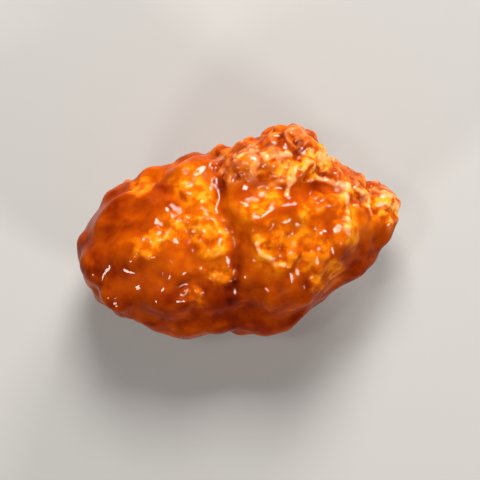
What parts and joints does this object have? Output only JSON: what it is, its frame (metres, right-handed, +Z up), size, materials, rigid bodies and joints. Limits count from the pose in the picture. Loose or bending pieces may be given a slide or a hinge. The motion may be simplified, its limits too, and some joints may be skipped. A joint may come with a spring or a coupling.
{
  "type": "caramel peanut",
  "caption": "Craggy caramel-coated peanut: an uneven glossy oval with a blunt end, a narrow tip, a shallow crease across it and a flat spot underneath.",
  "frame": {"origin": "under the middle of the piece's box, on the surface that it rests on", "axes": "+X along the piece from its blunt end to its narrow tip, +Y across it, +Z up"},
  "size_m": [0.0242, 0.015, 0.0138],
  "materials": {
    "caramel": "glossy amber to red-brown cooked-sugar glaze over a craggy crust with golden crumb"
  },
  "bodies": {
    "root": {"caramel_peanut": "caramel"}
  },
  "joints": []
}
